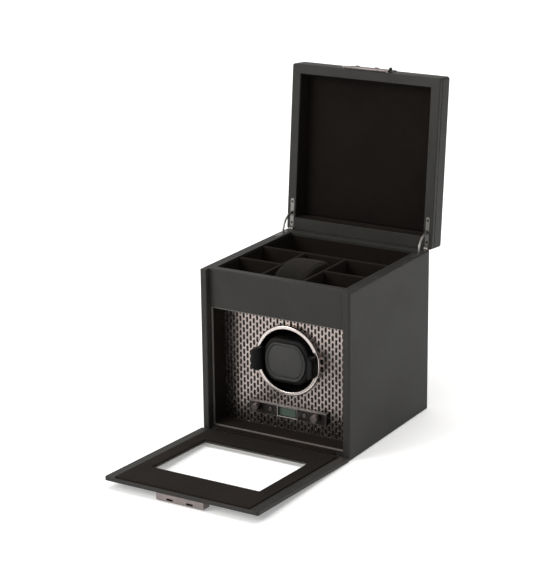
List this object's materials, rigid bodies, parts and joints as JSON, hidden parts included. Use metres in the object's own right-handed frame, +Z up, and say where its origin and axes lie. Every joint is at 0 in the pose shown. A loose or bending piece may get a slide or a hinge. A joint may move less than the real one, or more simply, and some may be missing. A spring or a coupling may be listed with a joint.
{
  "type": "watch winder box",
  "caption": "Leather-covered watch winder box: hinged lid over a divided tray, drop-down glazed front, geared motor drum with a padded cuff and a control strip.",
  "frame": {"origin": "centre of the underside of the base pad, midway across the case and midway between the front edges of the side panels and the back", "axes": "+Z up, -Y towards the front that drops down, +X to the right seen from the front; lid and front are open at rest"},
  "size_m": [0.206, 0.4567, 0.4223],
  "materials": {
    "case_leather": "fine grain, satin, over board",
    "case_board": "dark painted board",
    "base_felt": "felt",
    "suede_lining": "suede",
    "pillow_suede": "padded suede",
    "trim_metal": "satin",
    "perforated_metal": "satin metallic",
    "gunmetal": "polished gunmetal",
    "strip_black": "satin",
    "knob_gunmetal": "satin gunmetal",
    "button_black": "satin",
    "bezel_black": "gloss",
    "lcd_grey": "gloss",
    "lamp_lens": "clear",
    "drum_black": "matt",
    "cuff_black": "satin",
    "cuff_leather": "grained",
    "hinge_chrome": "polished",
    "pin_steel": "satin",
    "clear_glass": "clear",
    "cover_plastic": "fine texture",
    "circuit_board": "solder mask",
    "encoder_plastic": "matt",
    "gear_plastic": "natural",
    "pinion_brass": "machined",
    "motor_steel": "satin",
    "bracket_metal": "matt"
  },
  "bodies": {
    "case": {"left_side_panel": "case_leather", "right_side_panel": "case_leather", "back_panel": "case_leather", "base_panel": "case_board", "base_pad": "base_felt", "front_fascia": "case_leather", "storage_shelf": "case_board", "chamber_trim": "trim_metal", "chamber_liner": "suede_lining", "face_plate": "perforated_metal", "plate_backing": "case_board", "control_panel": "strip_black", "lcd_bezel": "bezel_black", "lcd_display": "lcd_grey", "rotary_encoders": "encoder_plastic", "led_lenses": "lamp_lens", "control_board": "circuit_board", "motor_mount": "bracket_metal", "drum_bearing": "pinion_brass", "drive_motor": "motor_steel", "dc_inlet": "cover_plastic", "rear_service_cover": "cover_plastic", "cover_screws": "pin_steel", "storage_rim": "case_leather", "storage_lining": "suede_lining", "rear_divider": "suede_lining", "column_dividers": "suede_lining", "cross_dividers": "suede_lining", "case_hinge_leaves": "hinge_chrome", "lid_hinge_pins": "hinge_chrome", "case_leaf_screws": "hinge_chrome", "front_hinge_lugs": "pin_steel"},
    "lid": {"lid_rim_frame": "case_leather", "lid_shell": "case_leather", "lid_lining": "suede_lining", "lid_hinge_leaves": "hinge_chrome", "lid_leaf_screws": "hinge_chrome", "lid_latch_plate": "gunmetal", "latch_pin": "pin_steel"},
    "stays": {"quadrant_stays": "hinge_chrome"},
    "latch": {"latch_flap": "gunmetal"},
    "front": {"front_frame": "case_leather", "front_lining": "suede_lining", "front_glass": "clear_glass", "front_strike": "gunmetal", "front_hinge_pins": "pin_steel"},
    "drum": {"drum_ring": "gunmetal", "drum_cup": "drum_black", "drum_gear": "gear_plastic", "drum_shaft": "pin_steel"},
    "pinion": {"motor_pinion": "pinion_brass"},
    "cuff": {"cuff_body": "cuff_black", "cuff_front_pad": "cuff_leather", "cuff_end_caps": "cuff_black"},
    "pillow": {"watch_pillow": "pillow_suede"},
    "knob_left": {"left_knob": "knob_gunmetal"},
    "knob_right": {"right_knob": "knob_gunmetal"},
    "button_left": {"left_button": "button_black"},
    "button_right": {"right_button": "button_black"}
  },
  "joints": [
    {"name": "lid_hinge", "type": "hinge", "parent": "case", "child": "lid", "pos_m": [0, 0.1039, 0.2072], "axis": [1, 0, 0], "range_deg": [0, 95]},
    {"name": "stay_swing", "type": "hinge", "parent": "case", "child": "stays", "pos_m": [0, 0.1039, 0.2072], "axis": [1, 0, 0], "range_deg": [0, 47.5]},
    {"name": "front_hinge", "type": "hinge", "parent": "case", "child": "front", "pos_m": [0, -0.1047, 0.0028], "axis": [-1, 0, 0], "range_deg": [0, 87.3]},
    {"name": "latch_hinge", "type": "hinge", "parent": "lid", "child": "latch", "pos_m": [0, 0.12279, 0.41856], "axis": [1, 0, 0], "range_deg": [0, 90]},
    {"name": "drum_spin", "type": "hinge", "parent": "case", "child": "drum", "pos_m": [0, -0.045, 0.0982], "axis": [0, 1, 0], "continuous": true},
    {"name": "pinion_spin", "type": "hinge", "parent": "case", "child": "pinion", "pos_m": [0, -0.0175, 0.0622], "axis": [0, 1, 0], "continuous": true},
    {"name": "cuff_slide", "type": "slide", "parent": "drum", "child": "cuff", "axis": [0, 1, 0], "range_m": [-0.075, 0]},
    {"name": "pillow_lift", "type": "slide", "parent": "case", "child": "pillow", "axis": [0, 0, -1], "range_m": [-0.07, 0]},
    {"name": "left_knob_turn", "type": "hinge", "parent": "case", "child": "knob_left", "pos_m": [-0.0413, -0.078, 0.0344], "axis": [0, 1, 0], "range_deg": [-135, 135]},
    {"name": "right_knob_turn", "type": "hinge", "parent": "case", "child": "knob_right", "pos_m": [0.0413, -0.078, 0.0344], "axis": [0, 1, 0], "range_deg": [-135, 135]},
    {"name": "left_button_press", "type": "slide", "parent": "case", "child": "button_left", "axis": [0, 1, 0], "range_m": [0, 0.0008], "stiffness_N_per_m": 400},
    {"name": "right_button_press", "type": "slide", "parent": "case", "child": "button_right", "axis": [0, 1, 0], "range_m": [0, 0.0008], "stiffness_N_per_m": 400}
  ],
  "couplings": [
    {"joint": "stay_swing", "follows": "lid_hinge", "ratio": 0.5},
    {"joint": "pinion_spin", "follows": "drum_spin", "ratio": -3}
  ]
}
